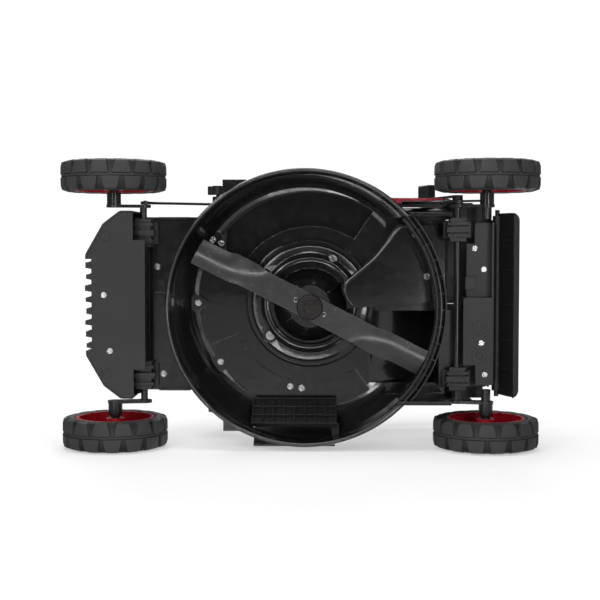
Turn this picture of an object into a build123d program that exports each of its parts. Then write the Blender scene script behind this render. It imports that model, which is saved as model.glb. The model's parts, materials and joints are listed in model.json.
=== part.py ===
from build123d import *
import math
import os

# A walk-behind lawn mower, in millimetres. Front is +X, its left side is +Y, up is +Z.
# The origin is on the ground, midway between the front and rear wheels.

# wheels and axles
WHEEL_RADIUS = 90
WHEEL_WIDTH = 53
HALF_WIDTH = 245
AXLE_X = 319
STUB_RADIUS = 6
RUNNING_GAP = 0.08
ARM_LENGTH = 50
ARM_DROP = 10
ARM_REACH = math.sqrt(ARM_LENGTH**2 - ARM_DROP**2)
PIVOT_X = AXLE_X - ARM_REACH
PIVOT_Z = WHEEL_RADIUS + ARM_DROP
BAR_RADIUS = 6
ARM_Y = 166
ARM_THICK = 5
TIE_RADIUS = 22
EYE = 6
SLOT_DOWN, SLOT_UP = 2, 7
WHEEL_IN_Y = HALF_WIDTH - WHEEL_WIDTH
TIE_TOP_Z = 184

# deck
SHEET = 2.5
RIM_X, RIM_Y, RIM_RADIUS = -8, -4, 231
RIM_Z = 40
KNEE_Z = 84
ROOF_Z = 150
ROOF_RADIUS, ROOF_Y = 200, 8
REAR_BOX_X = -255
POCKET_FRONT_X = 134
TUNNEL_TOP_Z = 205
BOX_LEFT_Y, BOX_RIGHT_Y = 150, -161
TUNNEL_LEFT_Y, TUNNEL_RIGHT_Y = -14, -141
TUNNEL_START_X, TUNNEL_X = -122, -240
CHUTE_X = -322
TONGUE_X, TONGUE_Y, TONGUE_Z = 284, 150, 112
NOSE_X, NOSE_DEPTH, NOSE_HALF = 364, 11, 78

WALL_BOSSES = ((146, 108), (180, 0), (141, -104))

# engine and blade, on one upright axis
CRANK_X, CRANK_Y = -17, -3
CRANK_RADIUS = 12.5
ENGINE_HOLE = 72
BOLT_CIRCLE = 88.9
BOLT_ANGLES = (116, 236 - 28.5, -38)
BLADE_RADIUS = 213
BLADE_WIDTH = 42
BLADE_Z, BLADE_THICK = 55, 4
BLADE_ANGLE = 27
BOSS_Z = 141
FILLER_X, FILLER_Y = 77, 93

# handle
TUBE = 11
LEG_Y, UPPER_Y = 158, 182
LOWER_X, LOWER_Z = -285, 172
LOWER_LENGTH, LOWER_SLOPE = 450, 12
UPPER_LENGTH, UPPER_SLOPE = 480, 12
JOINT_X = LOWER_X + LOWER_LENGTH * math.cos(math.radians(LOWER_SLOPE))
JOINT_Z = LOWER_Z + LOWER_LENGTH * math.sin(math.radians(LOWER_SLOPE))
BAIL_AT, BAIL_LENGTH = 375, 92
BAIL_TURN = 180 - UPPER_SLOPE - 38
BAIL_Y = UPPER_Y - TUBE - 5
LEVER_Y0, LEVER_Y1 = 183.5, 187


def block(x0, x1, y0, y1, z0, z1):
    return Pos((x0 + x1) / 2, (y0 + y1) / 2, (z0 + z1) / 2) * Box(x1 - x0, y1 - y0, z1 - z0)


def upright(x, y, z0, z1, radius):
    return Pos(x, y, (z0 + z1) / 2) * Cylinder(radius, z1 - z0)


def cross(x, z, y0, y1, radius):
    return Pos(x, (y0 + y1) / 2, z) * Rot(90, 0, 0) * Cylinder(radius, y1 - y0)


def lengthwise(y, z, x0, x1, radius):
    return Pos((x0 + x1) / 2, y, z) * Rot(0, 90, 0) * Cylinder(radius, x1 - x0)


def cone(x, y, z0, z1, low_radius, high_radius):
    return Pos(x, y, (z0 + z1) / 2) * Cone(low_radius, high_radius, z1 - z0)


def plate(points, z0, z1, corner=0):
    """An upright prism over an outline in X and Y."""
    outline = FilletPolyline(*points, radius=corner, close=True) if corner else Polyline(*points, close=True)
    return Pos(0, 0, z0) * extrude(make_face(outline), amount=z1 - z0, dir=(0, 0, 1))


def side_prism(points, y0, y1, grow=0):
    """A prism over an outline in X and Z, from y0 to y1."""
    face = make_face(Polyline(*points, close=True))
    if grow:
        face = offset(face, amount=grow, kind=Kind.INTERSECTION)
    return Pos(0, y1, 0) * Rot(90, 0, 0) * extrude(face, amount=y1 - y0, dir=(0, 0, 1))


def front_prism(points, x0, x1):
    """A prism over an outline in Y and Z, from x0 to x1."""
    face = make_face(Polyline(*points, close=True))
    return Pos(x0, 0, 0) * (Plane.YZ * extrude(face, amount=x1 - x0, dir=(0, 0, 1)))


def wedge(radius, start, end, z0, z1):
    """A sector about the engine axis."""
    arc = [
        (
            CRANK_X + radius * math.cos(math.radians(start + (end - start) * i / 12)),
            CRANK_Y + radius * math.sin(math.radians(start + (end - start) * i / 12)),
        )
        for i in range(13)
    ]
    return plate([(CRANK_X, CRANK_Y)] + arc, z0, z1)


def ring_sector(inner, outer, start, end, z0, z1):
    ring = upright(CRANK_X, CRANK_Y, z0, z1, outer) - upright(CRANK_X, CRANK_Y, z0, z1, inner)
    return ring & wedge(outer * 1.3, start, end, z0, z1)


def around(radius, angle):
    """A point in plan at an angle about the engine axis."""
    turn = math.radians(angle)
    return CRANK_X + radius * math.cos(turn), CRANK_Y + radius * math.sin(turn)


def screw(x, y, z, radius=5, height=4):
    """A hexagon head with a washer that shows below z."""
    head = Pos(x, y, z - height) * extrude(RegularPolygon(radius, 6), amount=height)
    return head + upright(x, y, z - 1.2, z, radius * 1.45)


# ---------------------------------------------------------------- deck


def drum(grow):
    """The blade chamber: straight at the rim, then curving in to a smaller roof that sits further left."""
    wall = RIM_RADIUS - SHEET
    straight = upright(RIM_X, RIM_Y, RIM_Z, KNEE_Z, wall + grow)
    rounds = []
    for share, corner in ((0, 0), (0.2, 0), (0.42, 0), (0.62, 0), (0.78, 0), (0.9, 2), (0.97, 6), (1, 12)):
        radius = wall - (wall - ROOF_RADIUS) * share**1.3 - corner
        middle_y = RIM_Y + (ROOF_Y - RIM_Y) * share
        height = KNEE_Z + (ROOF_Z + grow - KNEE_Z) * share
        rounds.append(Pos(RIM_X, middle_y, height) * Circle(radius + grow))
    return straight + loft(rounds, ruled=True)


def deck_space(grow, reach):
    """Everything the deck encloses, grown by its sheet thickness for the outside."""
    rear = block(REAR_BOX_X - reach, -150, BOX_RIGHT_Y - grow, BOX_LEFT_Y + grow, 44, ROOF_Z + grow)
    pocket_top = 175 + grow
    pocket = ring_sector(138 - grow, 200 + grow, 24 - grow / 3, 124 + grow / 3, ROOF_Z - 20, pocket_top)
    pocket &= block(-300, POCKET_FRONT_X + grow, -300, 300, 0, 300)
    rise = (TUNNEL_TOP_Z - ROOF_Z) / (TUNNEL_START_X - TUNNEL_X)
    profile = [
        (TUNNEL_START_X + grow, 110), (TUNNEL_START_X + grow, ROOF_Z + grow),
        (TUNNEL_X - reach, TUNNEL_TOP_Z + grow + reach * rise), (TUNNEL_X - reach, 110),
    ]
    tunnel = side_prism(profile, TUNNEL_RIGHT_Y - grow, TUNNEL_LEFT_Y + grow)
    return drum(grow) + rear + pocket + tunnel


def low_plate():
    """A flat pan pressed down from the roof beside the tunnel mouth."""
    outline = [(-70, 30), (-126, 76), (-140, 92), (-172, 138), (-232, 138), (-232, 6), (-205, -2), (-84, -8)]
    pan = plate(outline, 124, ROOF_Z + 1, 8)
    inside = Pos(0, 0, 124 + SHEET) * extrude(
        offset(make_face(FilletPolyline(*outline, radius=8, close=True)), amount=-SHEET), amount=40
    )
    return pan, inside


def deck_shell():
    deck = deck_space(SHEET, 0) - deck_space(0, 12)
    deck -= upright(RIM_X, RIM_Y, RIM_Z - 5, RIM_Z + 1, RIM_RADIUS - SHEET)
    pan, inside = low_plate()
    deck = deck + pan - inside
    # rolled rim, cut away where the rear box passes
    lip = Pos(RIM_X, RIM_Y, RIM_Z + 2) * Torus(RIM_RADIUS, 3.5)
    rear_gap = block(REAR_BOX_X - 20, -150, BOX_RIGHT_Y, BOX_LEFT_Y, 0, 60)
    rail = (
        block(REAR_BOX_X, -185, BOX_LEFT_Y, BOX_LEFT_Y + 6, 38, 46)
        + block(REAR_BOX_X, -165, BOX_RIGHT_Y - 6, BOX_RIGHT_Y, 38, 46)
    )
    deck = deck + (lip - rear_gap) + rail
    # pressed rings round the engine
    for inner, outer, low in ((100, 110, 144), (78, 88, 141)):
        ring = upright(CRANK_X, CRANK_Y + 3, low, ROOF_Z + 1, outer)
        deck += ring - upright(CRANK_X, CRANK_Y + 3, low, ROOF_Z + 1, inner)
    deck += ring_sector(138, 188, -125, -22, 146.5, ROOF_Z + 1)
    for angle in BOLT_ANGLES:
        deck += upright(*around(BOLT_CIRCLE, angle), BOSS_Z, ROOF_Z + 1, 13)
    deck -= upright(CRANK_X, CRANK_Y, 130, 156, ENGINE_HOLE)
    for angle in BOLT_ANGLES:
        deck -= upright(*around(BOLT_CIRCLE, angle), 130, 160, 4.4)
    # front tongue with its down-turned sides
    tongue = block(170, TONGUE_X, -TONGUE_Y, TONGUE_Y, TONGUE_Z, TONGUE_Z + SHEET)
    tongue += block(190, TONGUE_X - 40, TONGUE_Y - SHEET, TONGUE_Y, TONGUE_Z - 14, TONGUE_Z)
    tongue += block(190, TONGUE_X - 40, -TONGUE_Y, -TONGUE_Y + SHEET, TONGUE_Z - 14, TONGUE_Z)
    tongue += block(205, 255, -98, 20, TONGUE_Z - 3, TONGUE_Z)
    tongue -= drum(0)
    tongue -= upright(RIM_X, RIM_Y, 30, KNEE_Z + 5, RIM_RADIUS - 1)
    deck += tongue
    # lugs at both sides
    for y0, y1 in ((190, 212), (-214, -192)):
        lug = block(90, 130, y0, y1, 58, 92) - drum(0)
        deck += lug
    # three-cornered bosses where the tongue bolts through the wall
    for x, y in WALL_BOSSES:
        deck += corner_boss(x, y)
    # side discharge opening, door hinge lugs
    deck -= block(-62, 82, -260, -160, 90, 134)
    for x in (-70, 84):
        deck += block(x, x + 6, -212, -185, 143, 156) - cross_hole()
    # the roof stops where the discharge chute begins
    deck -= block(-300, TUNNEL_X, TUNNEL_RIGHT_Y - 3.2, TUNNEL_LEFT_Y + 3.2, 108, 160)
    return deck


def corner_boss(x, y):
    """A three-cornered pad under the roof that points away from the wall."""
    outline = fillet(RegularPolygon(24, 3).vertices(), 7)
    inward = math.degrees(math.atan2(RIM_Y - y, RIM_X - x))
    return Pos(x, y, BOSS_Z) * Rot(0, 0, inward) * extrude(outline, amount=ROOF_Z + 1 - BOSS_Z)


def cross_hole():
    return lengthwise(-206, 151, -100, 120, 3.1)


def rear_baffle():
    """Two arcs joined by ribs, behind the blade."""
    inner_radius, depth = 222, 15
    start, end = 180 - 42, 180 + 44
    low, high = 46, 76

    def arc(inner, outer):
        ring = upright(RIM_X, RIM_Y, low, high, outer) - upright(RIM_X, RIM_Y, low, high, inner)
        reach = 400
        points = [(RIM_X, RIM_Y)] + [
            (RIM_X + reach * math.cos(math.radians(a)), RIM_Y + reach * math.sin(math.radians(a)))
            for a in (start, (start + 180) / 2, 180, (end + 180) / 2, end)
        ]
        return ring & plate(points, low, high)

    baffle = arc(inner_radius, inner_radius + 2.5) + arc(inner_radius + depth, inner_radius + depth + 2.5)
    ribs = 13
    for i in range(ribs):
        angle = start + 1 + (end - start - 2) * i / (ribs - 1)
        rib = Pos(RIM_X, RIM_Y, 0) * Rot(0, 0, angle) * block(
            inner_radius + 1, inner_radius + depth + 1, -1.1, 1.1, low + 4, high
        )
        baffle += rib
    baffle += arc(inner_radius, inner_radius + depth + 2.5) & block(-400, 0, -300, 300, high - 2.5, high)
    return baffle & block(-400, -152, BOX_RIGHT_Y + 0.3, BOX_LEFT_Y - 0.3, 0, 100)


def side_grid():
    """A lattice that leans along the right wall, eight columns by three rows."""
    slope = math.degrees(math.atan2(36, 54))
    lattice = Box(146, 3, 66)
    columns, rows = 8, 3
    for i in range(columns + 1):
        lattice += Pos(-72 + i * 144 / columns, 4, 0) * Box(2.4, 7, 66)
    for j in range(rows + 1):
        lattice += Pos(0, 4, -32 + j * 64 / rows) * Box(146, 7, 2.4)
    return Pos(10, -190.5, 107) * Rot(-slope, 0, 0) * lattice


def side_door():
    line = [(-240, 84), (-244, 84), (-244, 88), (-210, 147), (-206, 147), (-206, 143)]
    door = front_prism(line, -60, 80)
    knuckle = lengthwise(-206, 151, -60, 80, 6) - lengthwise(-206, 151, -61, 81, 3.1)
    door -= lengthwise(-206, 151, -61, 81, 5.5)
    for x in (-40, 10, 60):
        door += front_prism([(-244.8, 90), (-243, 90), (-214, 140), (-215.8, 140)], x - 2, x + 2)
    return door + knuckle


def side_door_rod():
    return lengthwise(-206, 151, -72, 92, 3)


# ---------------------------------------------------------------- front cover


def bumper_outline(inset=0):
    half = [(262, 118), (278, 160), (305, 160), (334, 138), (NOSE_X, 86)]
    left = [(x - inset * (x > 270), y - inset) for x, y in half]
    return left + [(x, -y) for x, y in reversed(left)]


def nose_gap(wall=0):
    """The recess in the nose where the knobs stand."""
    reach = NOSE_HALF + wall
    return block(NOSE_X - NOSE_DEPTH - wall, NOSE_X + 20, -reach, reach, 40, 200)


def nose_knobs(z0, z1):
    """Eight blunt knobs along the nose, two widths in turn."""
    body = Part()
    knobs = 8
    for i in range(knobs):
        y = -68 + i * 136 / (knobs - 1)
        size = 6 + i % 2
        root, tip = NOSE_X - NOSE_DEPTH - 1, NOSE_X - 2 + i % 3
        outline = [(root, y - size), (tip, y - size + 2), (tip, y + size - 3), (root, y + size)]
        body += plate(outline, z0, z1)
    return body


def front_underplate():
    """The flat plate with knobs that closes the front cover from below."""
    body = plate(bumper_outline(3.2), 58, 62, 4)
    body -= block(255, 282, -200, -110, 50, 70)
    body -= block(255, 282, 110, 200, 50, 70)
    for y in (-136, 136):
        body -= upright(328, y * 0.86, 50, 59.5, 9)
    body -= nose_gap()
    body += nose_knobs(58.5, 61.5)
    for x0, x1, y in ((290, 340, 100), (284, 342, 30), (284, 342, -40), (290, 340, -105)):
        body += block(x0, x1, y - 1, y + 1, 61, 70)
    return body


def front_bumper():
    """The front cover: a thin shell with a sloping top and a ribbed nose."""
    low, high = 62.2, 176
    outer = plate(bumper_outline(), low, high, 12) - nose_gap()
    inner = plate(bumper_outline(3), low - 1, high - 3.5, 9) - nose_gap(3)
    slope = side_prism([(300, 190), (400, 190), (400, 132)], -300, 300)
    slope_in = side_prism([(298, 187), (396, 187), (396, 131)], -300, 300)
    shell = (outer - slope) - (inner - slope_in)
    shell -= block(240, 285, -300, 300, 50, 135)
    shell += nose_knobs(66, 128)
    for y in (-120, 0, 120):
        shell += block(300, 312, y - 30, y + 30, high - 6, high)
    return shell


def axle_brackets():
    """Four split bearing blocks that hold the two axle bars."""
    blocks = []
    for x, inner, outer in ((PIVOT_X, 98, 147), (-PIVOT_X, 108, 148)):
        for side in (1, -1):
            z = PIVOT_Z
            y0, y1 = sorted((side * inner, side * outer))
            body = block(x - 14, x + 14, y0, y1, z - 12, z + 11.8)
            body += block(x - 24, x + 24, y0 + 6, y1 - 6, z + 4, z + 11.8)
            for y in (y0 + 10, y1 - 10):
                body += block(x - 18, x + 18, y - 3, y + 3, z - 15, z + 8)
            middle = (y0 + y1) / 2
            body += block(x - 20, x + 20, middle - 5, middle + 5, z - 18, z + 6)
            body -= cross(x, z, y0 - 1, y1 + 1, BAR_RADIUS + RUNNING_GAP)
            blocks.append(body)
    return Compound(children=blocks)


# ---------------------------------------------------------------- axles and wheels


def crank_arm(pivot_x, end_x, side, extra=0):
    y0, y1 = sorted((side * (ARM_Y + extra), side * (ARM_Y + ARM_THICK + extra)))
    arm = cross(pivot_x, PIVOT_Z, y0, y1, 13) + cross(end_x, WHEEL_RADIUS, y0, y1, 13)
    run_x, run_z = end_x - pivot_x, WHEEL_RADIUS - PIVOT_Z
    length = math.hypot(run_x, run_z)
    nx, nz = -run_z / length * 11, run_x / length * 11
    points = [
        (pivot_x + nx, PIVOT_Z + nz), (end_x + nx, WHEEL_RADIUS + nz),
        (end_x - nx, WHEEL_RADIUS - nz), (pivot_x - nx, PIVOT_Z - nz),
    ]
    return arm + side_prism(points, y0, y1)


def axle(sign):
    """A bar with a crank arm and a stub axle at each end, and a tab for the tie rod."""
    pivot_x, end_x = sign * PIVOT_X, sign * AXLE_X
    body = cross(pivot_x, PIVOT_Z, -ARM_Y, ARM_Y, BAR_RADIUS)
    inboard = ARM_Y if sign > 0 else 146
    for side in (1, -1):
        body += crank_arm(pivot_x, end_x, side)
        y0, y1 = sorted((side * inboard, side * 238))
        body += cross(end_x, WHEEL_RADIUS, y0, y1, STUB_RADIUS)
        y0, y1 = sorted((side * inboard, side * (WHEEL_IN_Y + 3)))
        body += cross(end_x, WHEEL_RADIUS, y0, y1, 8)
        y0, y1 = sorted((side * 171, side * (WHEEL_IN_Y - 1)))
        body += cross(end_x, WHEEL_RADIUS, y0, y1, 12)
    tab_z = PIVOT_Z + sign * TIE_RADIUS
    tab = cross(pivot_x, tab_z, ARM_Y, ARM_Y + ARM_THICK, 8)
    tab += block(pivot_x - 8, pivot_x + 8, ARM_Y, ARM_Y + ARM_THICK, min(tab_z, PIVOT_Z), max(tab_z, PIVOT_Z))
    pin = cross(pivot_x, tab_z, ARM_Y, ARM_Y + 13, 3)
    return body + tab + pin


def tie_rod():
    """A joggled rod over the deck, from the top of the front tab to the bottom of the rear one.

    Its rear eye is a slot, which takes up the difference between the two tabs' arcs.
    """
    y = ARM_Y + 9
    front = (PIVOT_X, y, PIVOT_Z + TIE_RADIUS)
    rear = (-PIVOT_X, y, PIVOT_Z - TIE_RADIUS)
    path = FilletPolyline(front, (168, y, TIE_TOP_Z), (-150, y, TIE_TOP_Z), rear, radius=30)
    rod = sweep(Plane(path @ 0, z_dir=path % 0) * Circle(2.5), path=path)
    x, _, z = front
    rod += cross(x, z, y - 2.5, y + 2.5, 8)
    rod -= cross(x, z, y - 5, y + 5, 3.08)
    x, _, z = rear
    rod += block(x - EYE, x + EYE, y - 2.5, y + 2.5, z - SLOT_DOWN, z + SLOT_UP)
    for end in (z - SLOT_DOWN, z + SLOT_UP):
        rod += cross(x, end, y - 2.5, y + 2.5, EYE)
    rod -= block(x - 3.15, x + 3.15, y - 5, y + 5, z - SLOT_DOWN, z + SLOT_UP)
    for end in (z - SLOT_DOWN, z + SLOT_UP):
        rod -= cross(x, end, y - 5, y + 5, 3.15)
    return rod


def tyre(x, side):
    """A tyre with two rows of staggered lugs and a raised line between them."""
    middle = side * (HALF_WIDTH - WHEEL_WIDTH / 2)
    half = WHEEL_WIDTH / 2
    body = cross(x, WHEEL_RADIUS, middle - half, middle + half, WHEEL_RADIUS - 3)
    body = fillet(body.edges().filter_by(GeomType.CIRCLE), 5)
    body += cross(x, WHEEL_RADIUS, middle - 2, middle + 2, WHEEL_RADIUS)
    lugs = 16
    for row in (1, -1):
        for i in range(lugs):
            angle = 360 / lugs * (i + (0.5 if row > 0 else 0))
            outline = [(-12, 3), (12, 3), (9, half - 2), (-9, half - 2)]
            lug = plate(outline, WHEEL_RADIUS - 6, WHEEL_RADIUS - 0.6)
            lug = Rot(0, 0, 180) * lug if row < 0 else lug
            body += Pos(x, middle, WHEEL_RADIUS) * Rot(0, angle, 0) * lug
    hollow = cross(x, WHEEL_RADIUS, middle - half - 1, middle + half + 1, 67)
    return body - hollow


def rim(x, side):
    """A dished wheel with a hub, open behind its web on both sides."""
    middle = side * (HALF_WIDTH - WHEEL_WIDTH / 2)
    half = WHEEL_WIDTH / 2 - 2
    body = cross(x, WHEEL_RADIUS, middle - half, middle + half, 67)
    body -= cross(x, WHEEL_RADIUS, middle - half - 1, middle + half + 1, 62)
    web = cross(x, WHEEL_RADIUS, middle - 2, middle + 2, 63)
    for i in range(5):
        turn = math.radians(72 * i + 18)
        web -= cross(x + 42 * math.cos(turn), WHEEL_RADIUS + 42 * math.sin(turn), middle - 4, middle + 4, 11)
    hub = cross(x, WHEEL_RADIUS, middle - 23, middle + 22, 16)
    body = body + web + hub
    for i in range(5):
        rib = Box(46, 26, 3.5)
        body += Pos(x, middle, WHEEL_RADIUS) * Rot(0, 72 * i + 18 + 36, 0) * Pos(38, 0, 0) * rib
    body -= cross(x, WHEEL_RADIUS, middle - half - 9, middle + half + 9, STUB_RADIUS + RUNNING_GAP)
    return body - cross(x, WHEEL_RADIUS, *sorted((side * 150, side * (WHEEL_IN_Y + 4))), 12.5)


# ---------------------------------------------------------------- blade and crankshaft


def blade():
    """A flat bar whose ends narrow behind the cutting edge and lift at the back."""
    half = BLADE_WIDTH / 2
    twist_start, tip = 120, BLADE_RADIUS
    flat = plate([(-150, -half), (150, -half), (150, half), (-150, half)], 0, BLADE_THICK)
    body = flat
    for turn in (0, 180):
        end = plate(
            [(twist_start, -half - 4), (150, -half - 6), (tip - 4, -half - 6), (tip - 6, half - 16),
             (160, half - 12), (150, half)],
            0, BLADE_THICK,
        )
        lift = Pos(0, half - 17, BLADE_THICK / 2) * Rot(38, 0, 0) * block(156, tip - 9, 0, 17, -1.8, 1.8)
        body += Rot(0, 0, turn) * (end + lift)
    body -= upright(0, 0, -1, BLADE_THICK + 1, 5.1)
    for turn in (0, 180):
        body -= Rot(0, 0, turn) * upright(24, 0, -1, BLADE_THICK + 1, 4)
    keep = upright(0, 0, -20, 40, BLADE_RADIUS)
    return Pos(CRANK_X, CRANK_Y, BLADE_Z) * Rot(0, 0, BLADE_ANGLE) * (body & keep)


def blade_adapter():
    top = BLADE_Z + BLADE_THICK
    body = upright(CRANK_X, CRANK_Y, top, top + 6, 34)
    body += cone(CRANK_X, CRANK_Y, top + 6, top + 22, 30, 20)
    body += upright(CRANK_X, CRANK_Y, top + 22, 112, 19)
    return body - upright(CRANK_X, CRANK_Y, top - 1, 113, CRANK_RADIUS)


def blade_bolt():
    head = Pos(CRANK_X, CRANK_Y, BLADE_Z - 13) * extrude(RegularPolygon(9, 6), amount=8)
    washer = cone(CRANK_X, CRANK_Y, BLADE_Z - 5, BLADE_Z, 20, 22)
    shank = upright(CRANK_X, CRANK_Y, BLADE_Z - 6, BLADE_Z + BLADE_THICK, 5)
    return head + washer + shank


def crankshaft():
    body = upright(CRANK_X, CRANK_Y, BLADE_Z + BLADE_THICK, 200, CRANK_RADIUS)
    body += upright(CRANK_X, CRANK_Y, 200, 214, 38)
    body += upright(CRANK_X, CRANK_Y, 214, 300, 10)
    return body


def flywheel():
    body = upright(CRANK_X, CRANK_Y, 270, 290, 84)
    fins = 20
    for i in range(fins):
        body += Pos(CRANK_X, CRANK_Y, 296) * Rot(0, 0, 360 / fins * i) * Pos(62, 0, 0) * Box(36, 3, 14)
    return body - upright(CRANK_X, CRANK_Y, 260, 310, 10)


# ---------------------------------------------------------------- engine


def engine_sump():
    seat = ROOF_Z + SHEET
    body = upright(CRANK_X, CRANK_Y, seat + 0.01, seat + 9, 101)
    body += upright(CRANK_X, CRANK_Y, seat + 9, 198, 86)
    body += cone(CRANK_X, CRANK_Y, 122, seat + 2, 34, 66)
    body += upright(CRANK_X, CRANK_Y, 116, 124, 24)
    ribs = 8
    for i in range(ribs):
        fin = side_prism([(30, 126), (41, 126), (66, 149), (30, 149)], -1.8, 1.8)
        body += Pos(CRANK_X, CRANK_Y, 0) * Rot(0, 0, 45 * i + 10) * fin
    hollow = upright(CRANK_X, CRANK_Y, 162, 199, 76)
    body -= hollow
    body -= upright(CRANK_X, CRANK_Y, 110, 165, CRANK_RADIUS + RUNNING_GAP)
    for angle in BOLT_ANGLES:
        body -= upright(*around(BOLT_CIRCLE, angle), 150, 166, 4.2)
    return body


def engine_block():
    """Crankcase top, with a finned barrel that points forward."""
    body = upright(CRANK_X, CRANK_Y, 198, 256, 86)
    body -= upright(CRANK_X, CRANK_Y, 197, 246, 76)
    body += lengthwise(CRANK_Y, 228, 60, 104, 28)
    fins = 7
    for i in range(fins):
        x = 68 + i * 5.4
        body += block(x, x + 2, CRANK_Y - 46, CRANK_Y + 46, 200, 256)
    body -= lengthwise(CRANK_Y, 228, 20, 105, 24)
    body -= upright(CRANK_X, CRANK_Y, 240, 260, 11)
    return body


def cylinder_head():
    body = block(104.5, 118, CRANK_Y - 44, CRANK_Y + 44, 200, 256)
    fins = 7
    for i in range(fins):
        y = CRANK_Y - 42 + i * 13.2
        body += block(117, 132, y, y + 3, 202, 254)
    return body - lengthwise(CRANK_Y, 228, 104, 133, 7.2)


def spark_plug():
    body = lengthwise(CRANK_Y, 228, 105, 136, 7)
    body += lengthwise(CRANK_Y, 228, 136, 142, 10)
    return body + lengthwise(CRANK_Y, 228, 142, 168, 6)


def engine_bolts():
    bolts = []
    for angle in BOLT_ANGLES:
        x, y = around(BOLT_CIRCLE, angle)
        bolt = screw(x, y, BOSS_Z - 0.01, 5.5, 5) + upright(x, y, BOSS_Z - 2, 160, 4)
        bolts.append(bolt)
    return Compound(children=bolts)


def blower_shroud():
    """The cover over the flywheel, open below."""
    outline = [(-112, -92), (60, -92), (96, -50), (96, 46), (60, 86), (-112, 86)]
    outer = plate(outline, 257, 322, 22)
    outer = fillet(outer.edges().sort_by(Axis.Z)[-12:], 10)
    inner = Pos(0, 0, 256) * extrude(
        offset(make_face(FilletPolyline(*outline, radius=22, close=True)), amount=-3), amount=62
    )
    shell = outer - inner
    return shell - upright(CRANK_X, CRANK_Y, 300, 330, 60)


def recoil_cover():
    """The starter housing: a low dome with slots for the cooling air."""
    body = upright(CRANK_X, CRANK_Y, 322, 346, 72)
    body = fillet(body.edges().filter_by(GeomType.CIRCLE).sort_by(Axis.Z)[-1], 12)
    body -= upright(CRANK_X, CRANK_Y, 321, 342, 62)
    slots = 18
    for i in range(slots):
        slot = Pos(CRANK_X, CRANK_Y, 340) * Rot(0, 0, 360 / slots * i) * Pos(44, 0, 0) * Box(24, 4, 30)
        body -= slot
    body += upright(CRANK_X, CRANK_Y, 340, 350, 24)
    body += block(CRANK_X - 92, CRANK_X - 60, CRANK_Y + 30, CRANK_Y + 62, 322, 340)
    return body - upright(CRANK_X - 76, CRANK_Y + 46, 320, 341, 6)


def starter_grip():
    x, y = CRANK_X - 76, CRANK_Y + 46
    bar = cross(x, 352, y - 42, y + 42, 8)
    bar = fillet(bar.edges().filter_by(GeomType.CIRCLE), 5)
    return bar + upright(x, y, 330, 352, 5.5)


def fuel_tank():
    outline = [(-168, -66), (-114, -66), (-114, 66), (-168, 66)]
    tank = plate(outline, 226, 308, 16)
    tank = fillet(tank.edges().filter_by(Plane.XY), 7)
    space = plate([(-164, -62), (-118, -62), (-118, 62), (-164, 62)], 230, 303, 12)
    neck = upright(-141, 26, 302, 320, 20)
    bore = upright(-141, 26, 296, 321, 16)
    feet = block(-150, -103.2, -30, 30, 214, 228)
    return (tank + neck + feet - space) - bore


def fuel_cap():
    body = upright(-141, 26, 320.3, 336, 24)
    grips = 24
    for i in range(grips):
        body -= Pos(-141, 26, 330) * Rot(0, 0, 360 / grips * i) * Pos(25, 0, 0) * Box(4, 3, 20)
    return body + upright(-141, 26, 306, 321, 15.6)


def air_filter_box():
    outline = [(-70, -132), (24, -132), (34, -120), (34, -90), (-70, -90)]
    body = plate(outline, 196, 254, 6)
    body -= plate([(-66, -128), (22, -128), (30, -118), (30, -94), (-66, -94)], 200, 250, 4)
    for i in range(5):
        body += block(-60 + i * 20, -52 + i * 20, -134, -131, 206, 244)
    return body - lengthwise(-111, 226, 20, 40, 9.3)


def primer_bulb():
    ball = Pos(46, -111, 226) * Sphere(13)
    bulb = ball & block(41, 62, -130, -90, 200, 250)
    return bulb + lengthwise(-111, 226, 31, 42, 9)


def muffler():
    body = plate([(-70, 90), (30, 90), (30, 122), (-70, 122)], 196, 246, 8)
    body += lengthwise(106, 212, 30, 44, 9)
    return body + block(-40, 6, 83.3, 92, 206, 236)


def muffler_guard():
    outline = [(-76, 126), (36, 126), (36, 129), (-76, 129)]
    guard = plate(outline, 190, 254)
    guard += block(-76, 36, 92, 129, 251, 254)
    columns, rows = 9, 4
    for i in range(columns):
        for j in range(rows):
            guard -= block(-70 + i * 11.5, -63 + i * 11.5, 124, 131, 197 + j * 13, 205 + j * 13)
    return guard


def oil_dipstick():
    body = upright(FILLER_X, FILLER_Y, 262, 276, 13)
    for turn in (0, 90):
        body += Pos(FILLER_X, FILLER_Y, 276) * Rot(0, 0, turn) * Box(24, 4, 8)
    return body + upright(FILLER_X, FILLER_Y, 222, 262, 3)


def oil_filler():
    tube = plate([(42, 66), (52, 56), (86, 90), (74, 102)], 200, 214)
    tube -= upright(CRANK_X, CRANK_Y, 190, 220, 86.2)
    tube += upright(FILLER_X, FILLER_Y, 200, 261.7, 11)
    return tube - upright(FILLER_X, FILLER_Y, 210, 262, 7)


# ---------------------------------------------------------------- rear parts


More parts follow.
